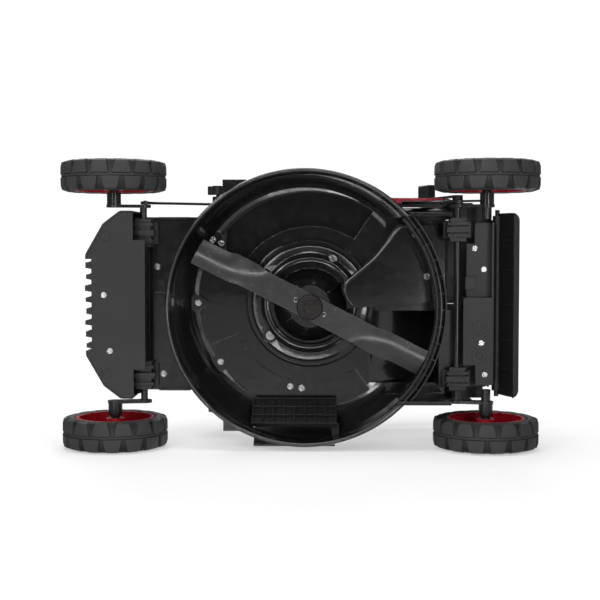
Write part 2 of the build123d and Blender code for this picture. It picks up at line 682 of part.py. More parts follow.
def discharge_chute():
    """A plastic tunnel from the deck to the bag opening, with a flange at each end."""
    t = 3
    outer = side_prism(
        [(CHUTE_X, 118), (CHUTE_X, 240), (TUNNEL_X - 0.2, 211.5), (TUNNEL_X - 0.2, 112)],
        TUNNEL_RIGHT_Y - 3, TUNNEL_LEFT_Y + 3,
    )
    inner = side_prism(
        [(CHUTE_X - 5, 118 + t), (CHUTE_X - 5, 240 - t), (TUNNEL_X + 5, 208), (TUNNEL_X + 5, 112 + t)],
        TUNNEL_RIGHT_Y, TUNNEL_LEFT_Y,
    )
    lip = block(CHUTE_X, CHUTE_X + 5, TUNNEL_RIGHT_Y - 3, TUNNEL_LEFT_Y + 10, 113, 242)
    for y in (TUNNEL_RIGHT_Y + 12, TUNNEL_LEFT_Y - 12):
        lip += block(CHUTE_X - 5, CHUTE_X + 5, y - 8, y + 8, 241, 255)
    lip += block(CHUTE_X, -268, TUNNEL_RIGHT_Y - 27, TUNNEL_RIGHT_Y - 2, 150, 153)
    lip += block(CHUTE_X + 4, -257, TUNNEL_LEFT_Y + 2, TUNNEL_LEFT_Y + 12.5, 150, 152.8)
    return (outer + lip) - inner - cross(CHUTE_X - 2, 250, -200, 20, 3.15)


def rear_door():
    """The flap over the chute, hung from its top edge."""
    x = CHUTE_X - 2
    left, right = TUNNEL_LEFT_Y + 10, TUNNEL_RIGHT_Y - 4
    door = block(x - 5, x - 1.5, right, left, 121, 239)
    for y in (right + 10, (left + right) / 2, left - 10):
        door += block(x - 8, x - 4, y - 2, y + 2, 126, 234)
    middle_low, middle_high = TUNNEL_RIGHT_Y + 22, TUNNEL_LEFT_Y - 22
    knuckle = cross(x, 250, middle_low, middle_high, 6)
    knuckle += block(x - 5, x - 1.5, middle_low, middle_high, 238, 250)
    return door + knuckle - cross(x, 250, middle_low - 1, middle_high + 1, 3.15)


def rear_door_rod():
    return cross(CHUTE_X - 2, 250, TUNNEL_RIGHT_Y - 4, TUNNEL_LEFT_Y + 10, 3)


def rear_panel():
    """The underside panel behind the deck, with a raised left half."""
    panel = block(-331, -279, -138, 11, 84, 88)
    panel += block(-331, -286, 11, 140, 102, 106)
    panel += block(-331, -279, 8, 12, 84, 106)
    panel += block(-331, -279, -138, -135, 84, 106)
    panel += block(-331, -327, -138, 140, 84, 106)
    panel -= block(-300, -240, -150, -104, 80, 120)
    panel -= block(-300, -240, 104, 150, 80, 120)
    panel += block(-331, -301, -138, -104, 84, 88)
    for y in (-88, -40):
        panel += upright(-306, y, 82.5, 85, 12)
        panel -= upright(-306, y, 80, 84.5, 6)
    panel += block(-300, -283, 26, 47, 90, 103)
    return panel


def rear_cover():
    """The moulding over the rear axle: a top, a back wall and a left wall, with a step round the chute."""
    y0, y1 = TUNNEL_LEFT_Y + 13, 145
    cover = block(-336, -252, y0, y1, 153, 156)
    cover += block(-336, -333, y0, y1, 120, 156)
    cover += block(-336, -330, y0, y0 + 3, 120, 156)
    cover += block(-336, -270, y1, 168, 153, 156)
    for y in (30, 62, 94, 122):
        cover += block(-330, -270, y - 2, y + 2, 155, 159)
        cover += block(-338, -335, y - 2, y + 2, 126, 159)
    return cover


def flap_rod():
    return cross(-340, 112, -160, 162, 4)


def rear_flap():
    """The trailing flap: narrow at its rod, wide below."""
    x, z = -340, 112
    profile = [(x - 4, z + 4), (x - 10, z + 2), (-366, 62), (-366, 52), (-362, 50), (x - 3, z - 8)]
    flap = side_prism(profile, -156, 156)
    flap += side_prism([(-368, 62), (-368, 48), (-359, 46), (-357, 50), (-364, 52)], -156, 156)
    flap &= plate([(-300, -156), (-368, -156), (-368, 156), (-300, 156)], 20, 140, 14)
    flap += cross(x, z, -150, 152, 8)
    flap -= cross(x, z, -158, 158, 4.15)
    for y in (-110, -60, 0, 60, 110):
        flap += side_prism([(-350, 92), (-363, 60), (-358, 58), (-345, 88)], y - 1.5, y + 1.5)
    return flap


def handle_mounts():
    """Two plates that carry the handle pivots: a foot under the left, the box wall by the right."""
    mounts = []
    for side in (1, -1):
        y0, y1 = sorted((side * 171.5, side * 175))
        outline = [(-298, 130), (-304, 160), (-302, 184), (-284, 192), (-264, 182), (-244, 150), (-244, 130)]
        mount = side_prism(outline, y0, y1)
        if side > 0:
            mount += block(-298, -250, BOX_LEFT_Y - 4, 175, 156.2, 158.7)
            mount += block(-268, -250, BOX_LEFT_Y - 4, BOX_LEFT_Y, 152.7, 157)
        else:
            mount += block(-266, -246, -172, BOX_RIGHT_Y - SHEET - 0.1, 132, 148)
        y0, y1 = sorted((side * 146, side * 177))
        mount += cross(LOWER_X, LOWER_Z, y0, y1, 4)
        y0, y1 = sorted((side * 169.3, side * 172))
        mount += cross(LOWER_X, LOWER_Z, y0, y1, 9)
        mounts.append(mount)
    return Compound(children=mounts)


# ---------------------------------------------------------------- height adjustment


def height_lever():
    """Rides with the rear axle, leans forward and carries a grip that turns outward."""
    x, z = -PIVOT_X, PIVOT_Z
    bar = side_prism([(x - 8, z), (x + 8, z), (x + 42, 226), (x + 30, 230)], LEVER_Y0, LEVER_Y1)
    bar += cross(x, z, ARM_Y + ARM_THICK, LEVER_Y1, 9)
    outline = [(x + 26, 222), (x + 42, 216), (x + 56, 256), (x + 38, 262)]
    grip = side_prism(outline, LEVER_Y0 - 4, LEVER_Y1 + 24)
    grip = fillet(grip.edges(), 3)
    return bar + grip


def sector_outline(inner, outer, start, end):
    x, z = -PIVOT_X, PIVOT_Z
    steps = 12
    turns = [math.radians(start + (end - start) * i / steps) for i in range(steps + 1)]
    arc = [(x + outer * math.cos(t), z + outer * math.sin(t)) for t in turns]
    return arc + [(x + inner * math.cos(t), z + inner * math.sin(t)) for t in reversed(turns)]


def height_sector():
    """The notched quadrant that holds the lever, on a foot that stands on the roof."""
    y0, y1 = 179, 182
    x, z = -PIVOT_X, PIVOT_Z
    sector = side_prism(sector_outline(82, 112, 34, 124), y0, y1)
    notches = 6
    for i in range(notches):
        turn = math.radians(44 + i * 14)
        sector -= cross(x + 112 * math.cos(turn), z + 112 * math.sin(turn), y0 - 1, y1 + 1, 4)
    sector += side_prism([(x + 68, 144), (x + 94, 162), (-134, 162), (-134, 144)], y0, y1)
    sector += block(-156, -134, 140, y1, 152.8, 156)
    return sector


def lever_trim():
    """The red strip along the left of the deck, below the notched quadrant."""
    strip = side_prism([(-150, 124), (-148, 143.8), (-214, 143.8), (-252, 128), (-250, 122)], 178.6, 182.6)
    return strip + block(-176, -152, 174, 182.6, 124, 128)


# ---------------------------------------------------------------- handle


def lean(x, z, length, slope):
    turn = math.radians(slope)
    return x + length * math.cos(turn), z + length * math.sin(turn)


def tube_between(start, end, radius):
    path = Line(start, end)
    return sweep(Plane(path @ 0, z_dir=path % 0) * Circle(radius), path=path)


def flat_end(x, z, y):
    """The closed, rounded end of a leg, a little thinner than its tube."""
    return cross(x, z, y - TUBE + 1.5, y + TUBE - 1.5, TUBE - 0.4)


def lower_handle():
    legs = []
    for side in (1, -1):
        y = side * LEG_Y
        leg = tube_between((LOWER_X, y, LOWER_Z), (JOINT_X, y, JOINT_Z), TUBE)
        leg += flat_end(LOWER_X, LOWER_Z, y) + flat_end(JOINT_X, JOINT_Z, y)
        leg -= cross(LOWER_X, LOWER_Z, y - 18, y + 18, 4.08)
        y0, y1 = sorted((side * (LEG_Y + 2), side * (UPPER_Y + TUBE + 2)))
        leg += cross(JOINT_X, JOINT_Z, y0, y1, 4)
        legs.append(leg)
    return Compound(children=legs)


def upper_handle():
    """A U of tube, folded back over the engine."""
    end_x, end_z = lean(JOINT_X, JOINT_Z, UPPER_LENGTH, 180 - UPPER_SLOPE)
    start_x, start_z = lean(JOINT_X, JOINT_Z, 0.5, 180 - UPPER_SLOPE)
    path = FilletPolyline(
        (start_x, UPPER_Y, start_z), (end_x, UPPER_Y, end_z),
        (end_x, -UPPER_Y, end_z), (start_x, -UPPER_Y, start_z),
        radius=48,
    )
    bar = sweep(Plane(path @ 0, z_dir=path % 0) * Circle(TUBE), path=path)
    for side in (1, -1):
        bar += flat_end(JOINT_X, JOINT_Z, side * UPPER_Y)
    for side in (1, -1):
        y0, y1 = sorted((side * (UPPER_Y - 15), side * (UPPER_Y + 15)))
        bar -= cross(JOINT_X, JOINT_Z, y0, y1, 4.08)
    return bar


def handle_grip():
    """A foam sleeve round the crossbar."""
    end_x, end_z = lean(JOINT_X, JOINT_Z, UPPER_LENGTH, 180 - UPPER_SLOPE)
    return cross(end_x, end_z, -118, 118, 15) - cross(end_x, end_z, -120, 120, TUBE)


def brake_bail():
    """A wire bow that swings against the crossbar."""
    x, z = lean(JOINT_X, JOINT_Z, BAIL_AT, 180 - UPPER_SLOPE)
    end_x, end_z = lean(x, z, BAIL_LENGTH, BAIL_TURN)
    path = FilletPolyline(
        (x, BAIL_Y, z), (end_x, BAIL_Y, end_z), (end_x, -BAIL_Y, end_z), (x, -BAIL_Y, z), radius=24
    )
    bow = sweep(Plane(path @ 0, z_dir=path % 0) * Circle(4), path=path)
    for side in (1, -1):
        bow += cross(x, z, side * BAIL_Y - 4.5, side * BAIL_Y + 4.5, 7)
    for side in (1, -1):
        bow -= cross(x, z, side * BAIL_Y - 9, side * BAIL_Y + 9, 3.15)
    return bow


def bail_pins():
    x, z = lean(JOINT_X, JOINT_Z, BAIL_AT, 180 - UPPER_SLOPE)
    pins = []
    for side in (1, -1):
        y0, y1 = sorted((side * (BAIL_Y - 8), side * (UPPER_Y - TUBE + 2)))
        pin = cross(x, z, y0, y1, 3) + cross(x, z, *sorted((side * (BAIL_Y - 8), side * (BAIL_Y - 5))), 6)
        pins.append(pin)
    return Compound(children=pins)


def handle_knob(side):
    """A three-lobed nut on the outside of a handle joint."""
    y0, y1 = sorted((side * (UPPER_Y + TUBE + 2.2), side * (UPPER_Y + TUBE + 18)))
    body = cross(JOINT_X, JOINT_Z, y0, y1, 12)
    lobes = 3
    for i in range(lobes):
        turn = math.radians(360 / lobes * i + 30)
        body += cross(JOINT_X + 14 * math.cos(turn), JOINT_Z + 14 * math.sin(turn), y0, y1, 8)
    return body


# ---------------------------------------------------------------- fasteners


def deck_bolts():
    """Heads that show on the underside of the roof, the tongue and the low plate."""
    spots = [
        (139, 105, BOSS_Z), (154, 111, BOSS_Z), (180, 0, BOSS_Z), (141, -104, BOSS_Z),
        (18, -148, 146.5), (-2, -151, 146.5), (-200, 120, 124), (-220, 47, 124),
        (248, 64, TONGUE_Z), (238, -122, TONGUE_Z),
    ]
    return Compound(children=[screw(x, y, z - 0.01, 3.8, 3.5) for x, y, z in spots])


def plate_screws():
    """Heads in the front plate and in the rear panel."""
    spots = [
        (332, 17, 58), (322, -78, 58),
        (-300, 96, 102), (-316, 60, 102), (-316, -120, 84), (-310, -66, 84),
    ]
    return Compound(children=[screw(x, y, z - 0.01, 3.4, 2.5) for x, y, z in spots])


PARTS = {
    "deck_shell": deck_shell,
    "rear_baffle": rear_baffle,
    "side_grid": side_grid,
    "side_door": side_door,
    "side_door_rod": side_door_rod,
    "front_underplate": front_underplate,
    "front_bumper": front_bumper,
    "axle_brackets": axle_brackets,
    "front_axle": lambda: axle(1),
    "rear_axle": lambda: axle(-1),
    "tie_rod": tie_rod,
    "blade": blade,
    "blade_adapter": blade_adapter,
    "blade_bolt": blade_bolt,
    "crankshaft": crankshaft,
    "flywheel": flywheel,
    "engine_sump": engine_sump,
    "engine_block": engine_block,
    "cylinder_head": cylinder_head,
    "spark_plug": spark_plug,
    "engine_bolts": engine_bolts,
    "blower_shroud": blower_shroud,
    "recoil_cover": recoil_cover,
    "starter_grip": starter_grip,
    "fuel_tank": fuel_tank,
    "fuel_cap": fuel_cap,
    "air_filter_box": air_filter_box,
    "primer_bulb": primer_bulb,
    "muffler": muffler,
    "muffler_guard": muffler_guard,
    "oil_filler": oil_filler,
    "oil_dipstick": oil_dipstick,
    "discharge_chute": discharge_chute,
    "rear_door": rear_door,
    "rear_door_rod": rear_door_rod,
    "rear_panel": rear_panel,
    "rear_cover": rear_cover,
    "flap_rod": flap_rod,
    "rear_flap": rear_flap,
    "handle_mounts": handle_mounts,
    "height_lever": height_lever,
    "height_sector": height_sector,
    "lever_trim": lever_trim,
    "lower_handle": lower_handle,
    "upper_handle": upper_handle,
    "handle_grip": handle_grip,
    "brake_bail": brake_bail,
    "bail_pins": bail_pins,
    "handle_knob_left": lambda: handle_knob(1),
    "handle_knob_right": lambda: handle_knob(-1),
    "deck_bolts": deck_bolts,
    "plate_screws": plate_screws,
}

CORNERS = {
    "front_left": (AXLE_X, 1),
    "front_right": (AXLE_X, -1),
    "rear_left": (-AXLE_X, 1),
    "rear_right": (-AXLE_X, -1),
}


def main():
    os.makedirs("parts", exist_ok=True)
    for name, make in PARTS.items():
        export_step(make(), f"parts/{name}.step")
    for corner, (x, side) in CORNERS.items():
        export_step(tyre(x, side), f"parts/tyre_{corner}.step")
        export_step(rim(x, side), f"parts/rim_{corner}.step")


main()
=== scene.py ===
import json
import math

import bmesh
import bpy
from mathutils import Matrix, Vector

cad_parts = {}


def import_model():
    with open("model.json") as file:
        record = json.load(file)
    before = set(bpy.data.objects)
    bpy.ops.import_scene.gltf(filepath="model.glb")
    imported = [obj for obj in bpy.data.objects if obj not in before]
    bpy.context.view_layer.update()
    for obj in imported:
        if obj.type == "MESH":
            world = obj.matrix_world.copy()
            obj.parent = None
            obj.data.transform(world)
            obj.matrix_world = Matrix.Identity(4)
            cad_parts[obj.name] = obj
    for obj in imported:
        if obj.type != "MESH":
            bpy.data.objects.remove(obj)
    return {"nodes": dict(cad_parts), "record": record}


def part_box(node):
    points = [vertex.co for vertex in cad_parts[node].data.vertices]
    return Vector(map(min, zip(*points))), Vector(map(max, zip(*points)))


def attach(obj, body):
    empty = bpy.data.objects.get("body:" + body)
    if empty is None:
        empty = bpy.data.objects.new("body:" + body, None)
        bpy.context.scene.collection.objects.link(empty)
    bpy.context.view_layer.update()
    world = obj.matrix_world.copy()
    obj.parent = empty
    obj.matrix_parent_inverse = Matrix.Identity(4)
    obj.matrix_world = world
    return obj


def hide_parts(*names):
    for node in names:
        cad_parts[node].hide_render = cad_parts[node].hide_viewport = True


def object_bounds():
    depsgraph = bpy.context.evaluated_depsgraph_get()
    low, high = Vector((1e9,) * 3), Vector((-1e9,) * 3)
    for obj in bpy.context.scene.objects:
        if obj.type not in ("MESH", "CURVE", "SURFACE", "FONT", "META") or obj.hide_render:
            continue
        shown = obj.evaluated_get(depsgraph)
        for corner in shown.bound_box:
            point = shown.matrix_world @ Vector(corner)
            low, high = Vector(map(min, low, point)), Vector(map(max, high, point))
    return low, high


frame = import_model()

CAD_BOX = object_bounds()
NODES = frame["nodes"]
RECORD = frame["record"]
SLOT_OF = {s["node"]: s["material_slot"] for s in RECORD["subparts"]}

# The mower lies on its right side, so the floor stands upright at its right wheels.
FLOOR_Y = CAD_BOX[0].y - 0.001
CAMERA_AT = Vector((-0.036, 0.100, -1.95))
CAMERA_TO = Vector((0.0, 0.0075, 0.09))
LENS = 71.4
MIDDLE = (0.0, 0.0, 0.12)
UP_Y = Vector((0, 1, 0))
UP_Z = Vector((0, 0, 1))

# A tyre has two rows of this many lugs, and its centre line stays this far below their tops.
LUGS = 15
LUG_DEPTH = 0.0055
CENTRE_LINE = 0.0016
TYRE_STEPS = 120
# The blade stands at this angle to the mower's length at rest.
BLADE_TURN = math.radians(27)
# The pressed rings sit this far to the left of the crank.
RING_SHIFT = 0.003
RING_STEPS = 96


# ---------------------------------------------------------------- nodes of a material


class Shader:
    """A node material with one Principled shader, and short calls for its texture nodes."""

    def __init__(self, name):
        self.material = bpy.data.materials.new(name)
        self.material.use_nodes = True
        self.tree = self.material.node_tree
        self.tree.nodes.clear()
        self.out = self.add("ShaderNodeOutputMaterial")
        self.bsdf = self.add("ShaderNodeBsdfPrincipled")
        self.link(self.bsdf.outputs[0], self.out.inputs[0])
        self.place = self.add("ShaderNodeTexCoord").outputs["Object"]

    def add(self, kind, **settings):
        node = self.tree.nodes.new(kind)
        for key, value in settings.items():
            setattr(node, key, value)
        return node

    def link(self, a, b):
        self.tree.links.new(a, b)

    def put(self, socket, value):
        if hasattr(value, "is_output"):
            self.link(value, socket)
        else:
            socket.default_value = value

    def noise(self, scale, detail, rough):
        node = self.add("ShaderNodeTexNoise")
        node.inputs["Scale"].default_value = scale
        node.inputs["Detail"].default_value = detail
        node.inputs["Roughness"].default_value = rough
        self.link(self.place, node.inputs["Vector"])
        return node.outputs["Fac"]

    def span(self, value, low, high, to_low=0.0, to_high=1.0):
        node = self.add("ShaderNodeMapRange", clamp=True)
        self.put(node.inputs["Value"], value)
        for key, number in (("From Min", low), ("From Max", high), ("To Min", to_low), ("To Max", to_high)):
            self.put(node.inputs[key], number)
        return node.outputs["Result"]

    def math(self, operation, a, b):
        node = self.add("ShaderNodeMath", operation=operation)
        self.put(node.inputs[0], a)
        self.put(node.inputs[1], b)
        return node.outputs[0]

    def mix(self, fac, a, b):
        node = self.add("ShaderNodeMix", data_type="RGBA")
        self.put(node.inputs[0], fac)
        self.put(node.inputs[6], a)
        self.put(node.inputs[7], b)
        return node.outputs[2]

    def rounded(self, radius):
        """Soft edges, and how near the point is to an edge, from 0 to 1."""
        bevel = self.add("ShaderNodeBevel", samples=6)
        bevel.inputs["Radius"].default_value = radius
        dot = self.add("ShaderNodeVectorMath", operation="DOT_PRODUCT")
        self.link(bevel.outputs[0], dot.inputs[0])
        self.link(self.add("ShaderNodeNewGeometry").outputs["Normal"], dot.inputs[1])
        return bevel.outputs[0], self.span(dot.outputs["Value"], 0.995, 0.86)

    def bump(self, height, distance, strength, normal):
        node = self.add("ShaderNodeBump")
        node.inputs["Strength"].default_value = strength
        node.inputs["Distance"].default_value = distance
        self.link(height, node.inputs["Height"])
        self.link(normal, node.inputs["Normal"])
        return node.outputs[0]


def rgb(r, g, b):
    return (r, g, b, 1.0)


def grey(value):
    return rgb(value, value, value * 1.02)


def finish_of(name, base, worn, rough, metallic=0.0, specular=0.5, coat=0.0, coat_rough=0.1,
              round_edge=0.0012, wear=0.5, cloud=0.25, cloud_scale=14.0, grain=(900.0, 0.00012, 0.3),
              peel=None, shade_grooves=False):
    """One finish: base colour with slow clouds, lighter worn edges, uneven gloss, and bumps, and on a tread
    painted shade in the grooves with the rest lightened towards the worn colour as dust.

    Grain and peel are each (noise scale, bump distance in metres, bump strength).
    """
    s = Shader(name)
    normal, edge = s.rounded(round_edge)
    clouds = s.noise(cloud_scale, 4.0, 0.6)
    darker = tuple(c * (1 - cloud) for c in base[:3]) + (1.0,)
    lighter = tuple(c * (1 + cloud) for c in base[:3]) + (1.0,)
    colour = s.mix(s.span(clouds, 0.3, 0.7), darker, lighter)
    # On a tread the groove floors are painted near-black as painted shade, and everything else is lightened
    # six tenths towards the worn colour as dust.
    if shade_grooves:
        groove_shade = s.add("ShaderNodeAttribute", attribute_name="groove_shade").outputs["Fac"]
        colour = s.mix(groove_shade, s.mix(0.6, colour, worn), grey(0.0035))
    chips = s.span(s.noise(220.0, 3.0, 0.7), 0.42, 0.62)
    colour = s.mix(s.math("MULTIPLY", s.math("MULTIPLY", edge, chips), wear), colour, worn)
    s.link(colour, s.bsdf.inputs["Base Color"])
    spots = s.noise(70.0, 5.0, 0.65)
    s.link(s.span(spots, 0.3, 0.75, rough[0], rough[1]), s.bsdf.inputs["Roughness"])
    s.bsdf.inputs["Metallic"].default_value = metallic
    s.bsdf.inputs["Specular IOR Level"].default_value = specular
    s.bsdf.inputs["Coat Weight"].default_value = coat
    s.bsdf.inputs["Coat Roughness"].default_value = coat_rough
    for layer, detail, noise_rough in ((grain, 3.0, 0.6), (peel, 1.0, 0.4)):
        if layer:
            scale, distance, strength = layer
            normal = s.bump(s.noise(scale, detail, noise_rough), distance, strength, normal)
    s.link(normal, s.bsdf.inputs["Normal"])
    return s.material


FINISHES = {
    # glossy paint over pressed steel, with a slight orange peel
    "gloss_steel": dict(base=grey(0.007), worn=grey(0.06), rough=(0.10, 0.20), specular=0.65, coat=0.6,
                        coat_rough=0.04, round_edge=0.0018, wear=0.25, cloud=0.35, cloud_scale=9.0,
                        grain=(700.0, 0.00004, 0.2), peel=(120.0, 0.0007, 0.10)),
    "black_plastic": dict(base=grey(0.008), worn=grey(0.07), rough=(0.34, 0.50), specular=0.45, wear=0.45,
                          cloud=0.2, grain=(1400.0, 0.00015, 0.35)),
    "grey_plastic": dict(base=grey(0.009), worn=grey(0.07), rough=(0.36, 0.52), specular=0.45, wear=0.4,
                         cloud=0.2, grain=(1300.0, 0.00015, 0.35)),
    "zinc_steel": dict(base=rgb(0.50, 0.50, 0.50), worn=rgb(0.85, 0.85, 0.85), rough=(0.16, 0.34),
                       metallic=1.0, round_edge=0.0009, wear=0.6, cloud=0.2, cloud_scale=40.0,
                       grain=(700.0, 0.0001, 0.25)),
    "black_steel": dict(base=grey(0.012), worn=grey(0.16), rough=(0.16, 0.30), specular=0.55, coat=0.2,
                        round_edge=0.0008, wear=0.4, grain=None, peel=(300.0, 0.0003, 0.12)),
    "blade_steel": dict(base=grey(0.052), worn=grey(0.30), rough=(0.20, 0.30), metallic=0.5, specular=0.7,
                        round_edge=0.0008, wear=0.5, cloud=0.10, cloud_scale=22.0,
                        grain=(900.0, 0.00006, 0.3)),
    "bolt_steel": dict(base=rgb(0.030, 0.028, 0.027), worn=grey(0.35), rough=(0.28, 0.5), metallic=0.85,
                       round_edge=0.0008, wear=0.6, cloud=0.25, cloud_scale=60.0, grain=(500.0, 0.0002, 0.4)),
    "engine_metal": dict(base=rgb(0.16, 0.16, 0.17), worn=grey(0.5), rough=(0.38, 0.6), metallic=0.8,
                         round_edge=0.0016, wear=0.5, cloud=0.25, cloud_scale=30.0,
                         grain=(420.0, 0.0005, 0.6)),
    "muffler_steel": dict(base=rgb(0.34, 0.32, 0.30), worn=grey(0.7), rough=(0.3, 0.55), metallic=1.0,
                          wear=0.5, cloud=0.35, cloud_scale=18.0, grain=(500.0, 0.0002, 0.3)),
    "tank_plastic": dict(base=grey(0.012), worn=grey(0.05), rough=(0.26, 0.40), specular=0.5,
                         round_edge=0.003, wear=0.3, grain=(1500.0, 0.0001, 0.25)),
    "red_plastic": dict(base=rgb(0.33, 0.006, 0.016), worn=rgb(0.60, 0.06, 0.07), rough=(0.22, 0.38),
                        specular=0.5, coat=0.15, wear=0.4, cloud=0.18, grain=(1200.0, 0.0001, 0.2)),
    # tyre rubber, with painted shade in the tread's grooves
    "tyre_rubber": dict(base=grey(0.0085), worn=grey(0.040), rough=(0.55, 0.78), specular=0.4,
                        round_edge=0.0014, wear=0.6, cloud=0.3, cloud_scale=30.0,
                        grain=(800.0, 0.0003, 0.55), shade_grooves=True),
    "soft_rubber": dict(base=grey(0.017), worn=grey(0.05), rough=(0.6, 0.8), specular=0.35, wear=0.3,
                        grain=(900.0, 0.0003, 0.5)),
    "plug_ceramic": dict(base=rgb(0.75, 0.74, 0.70), worn=rgb(0.8, 0.8, 0.78), rough=(0.12, 0.2), wear=0.1,
                         cloud=0.06, grain=(300.0, 0.0001, 0.1)),
}

MATERIALS = {slot: finish_of(slot, **settings) for slot, settings in FINISHES.items()}
for name, node in NODES.items():
    node.data.materials.clear()
    node.data.materials.append(MATERIALS[SLOT_OF[name]])


# ---------------------------------------------------------------- made pieces


def piece(name, points, faces, slot, body, replaces=(), smooth=40.0, bevel=None):
    """A mesh object in the row frame that rides on a body and takes a slot's finish."""
    mesh = bpy.data.meshes.new(name)
    mesh.from_pydata([tuple(p) for p in points], [], faces)
    mesh.validate()
    obj = bpy.data.objects.new(name, mesh)
    bpy.context.scene.collection.objects.link(obj)
    work = bmesh.new()
    work.from_mesh(mesh)
    bmesh.ops.remove_doubles(work, verts=work.verts, dist=1e-6)
    bmesh.ops.recalc_face_normals(work, faces=work.faces)
    work.to_mesh(mesh)
    work.free()
    if bevel:
        edge = obj.modifiers.new("edge", "BEVEL")
        edge.width = bevel
        edge.segments = 2
        edge.limit_method = "ANGLE"
        edge.angle_limit = math.radians(35)
        edge.harden_normals = True
    mesh.materials.append(MATERIALS[slot])
    mesh.shade_smooth()
    mesh.set_sharp_from_angle(angle=math.radians(smooth))
    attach(obj, body)
    if replaces:
        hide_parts(*replaces)
    return obj


def turned(profile, count, place):
    """Points and faces of a closed profile of (radius, height), turned in count steps.

    place gives the point for the two parts of the radius and the height.
    """
    points = []
    for i in range(count):
        turn = 2 * math.pi * i / count
        for radius, height in profile:
            points.append(place(radius * math.cos(turn), radius * math.sin(turn), height))
    n = len(profile)
    faces = []
    for i in range(count):
        j = (i + 1) % count
        for k in range(n):
            m = (k + 1) % n
            faces.append((i * n + k, i * n + m, j * n + m, j * n + k))
    return points, faces


def tyre(corner):
    """A carcass with a raised centre line and two rows of staggered, tapered lugs."""
    low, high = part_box("tyre_" + corner)
    centre = (low + high) / 2

    def place(x, z, y):
        return (centre.x + x, centre.y + y, centre.z + z)

    radius = (high.z - low.z) / 2
    half = (high.y - low.y) / 2
    inner = 0.0668
    floor_r = radius - LUG_DEPTH
    profile = [
        (inner, -half + 0.006), (inner + 0.004, -half + 0.0015), (inner + 0.009, -half + 0.0004),
        (floor_r - 0.006, -half + 0.0012), (floor_r - 0.0015, -half + 0.0035), (floor_r, -half + 0.007),
        (floor_r + 0.0005, -0.0032), (radius - CENTRE_LINE, -0.0017), (radius - CENTRE_LINE, 0.0017),
        (floor_r + 0.0005, 0.0032), (floor_r, half - 0.007), (floor_r - 0.0015, half - 0.0035),
        (floor_r - 0.006, half - 0.0012), (inner + 0.009, half - 0.0004), (inner + 0.004, half - 0.0015),
        (inner, half - 0.006),
    ]
    points, faces = turned(profile, TYRE_STEPS, place)
    wide, narrow = math.radians(9.9), math.radians(6.6)
    steps = 5
    for side in (-1, 1):
        for i in range(LUGS):
            turn = 2 * math.pi * (i + (0.5 if side > 0 else 0.0)) / LUGS
            base = len(points)
            for k in range(steps + 1):
                t = -1 + 2 * k / steps
                # each row is a radius, a distance from the middle and half the lug's angle there
                rows = (
                    (floor_r - 0.001, 0.0020, wide * 1.04),
                    (radius - 0.0002, 0.0030, wide),
                    (radius - 0.0004, half * 0.62, (wide + narrow) / 2),
                    (radius - 0.0022, half - 0.0035, narrow),
                    (radius - 0.0125, half - 0.0002, narrow * 1.06),
                    (radius - 0.0165, half - 0.0022, narrow * 1.1),
                )
                for r, y, spread in rows:
                    a = turn + t * spread
                    points.append(place(r * math.cos(a), r * math.sin(a), side * y))
            n = len(rows)
            for k in range(steps):
                for m in range(n - 1):
                    p = base + k * n + m
                    faces.append((p, p + 1, p + n + 1, p + n))
            faces.append(tuple(base + m for m in range(n)))
            faces.append(tuple(base + steps * n + m for m in reversed(range(n))))
            near = [base + k * n for k in range(steps + 1)]
            far = [base + k * n + n - 1 for k in reversed(range(steps + 1))]
            faces.append(tuple(near + far))
    obj = piece(
        "tread_" + corner, points, faces, "tyre_rubber", "wheel_" + corner,
        replaces=("tyre_" + corner,), smooth=32.0,
    )
    # Each groove floor vertex gets 1, so the tyre finish paints it near-black as painted shade in the recess
    # between lugs.
    groove_shade = obj.data.attributes.new("groove_shade", "FLOAT", "POINT")
    for vertex, value in zip(obj.data.vertices, groove_shade.data):
        r = math.hypot(vertex.co.x - centre.x, vertex.co.z - centre.z)
        across = abs(vertex.co.y - centre.y)
        value.value = 1.0 if r < floor_r + 0.0002 and across < half - 0.003 and r > inner + 0.012 else 0.0


def blade():
    """The bar as one bent sheet: flat at the hub, twisted at the ends, lifted behind the cutting edge."""
    low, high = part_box("blade")
    centre = (low + high) / 2
    bottom = low.z
    reach, half, thick = 0.213, 0.021, 0.004
    along_x, along_y = math.cos(BLADE_TURN), math.sin(BLADE_TURN)
    bend_from, bend_over, slant = 0.100, 0.034, 0.016
    tip_from, tip_over, tip_cut = 0.150, 0.012, 0.004
    flare, lift = 0.0035, 0.0095
    rows = 49
    across = [-1.0, -0.75, -0.4, 0.0, 0.4, 0.75, 1.0]
    upper, under = [], []
    for i in range(rows):
        r = -reach + 2 * reach * i / (rows - 1)
        side = 1 if r > 0 else -1
        out = abs(r)
        tip = min(max((out - tip_from) / tip_over, 0.0), 1.0)
        for v in across:
            w = v * side
            # the trailing side is the one with positive w, and the bend lines run aslant
            bend = min(max((out + slant * w - bend_from) / bend_over, 0.0), 1.0)
            bend = bend * bend * (3 - 2 * bend)
            y = w * (half + flare * bend - (tip_cut * tip if w > 0 else 0.0)) * side
            z = lift * bend * max(w, -0.35) + tip_cut * tip * max(w - 0.3, 0)
            px = centre.x + r * along_x - y * along_y
            py = centre.y + r * along_y + y * along_x
            under.append((px, py, bottom + z))
            upper.append((px, py, bottom + z + thick))
    n = len(across)
    points = under + upper
    top = len(under)
    faces = []
    for i in range(rows - 1):
        for k in range(n - 1):
            p = i * n + k
            faces.append((p, p + 1, p + n + 1, p + n))
            faces.append((top + p, top + p + n, top + p + n + 1, top + p + 1))
        for k in (0, n - 1):
            p = i * n + k
            faces.append((p, p + n, top + p + n, top + p))
    for i in (0, rows - 1):
        for k in range(n - 1):
            p = i * n + k
            faces.append((p, p + 1, top + p + 1, top + p))
    piece("blade_bar", points, faces, "blade_steel", "crank", replaces=("blade",), smooth=50.0, bevel=0.0006)


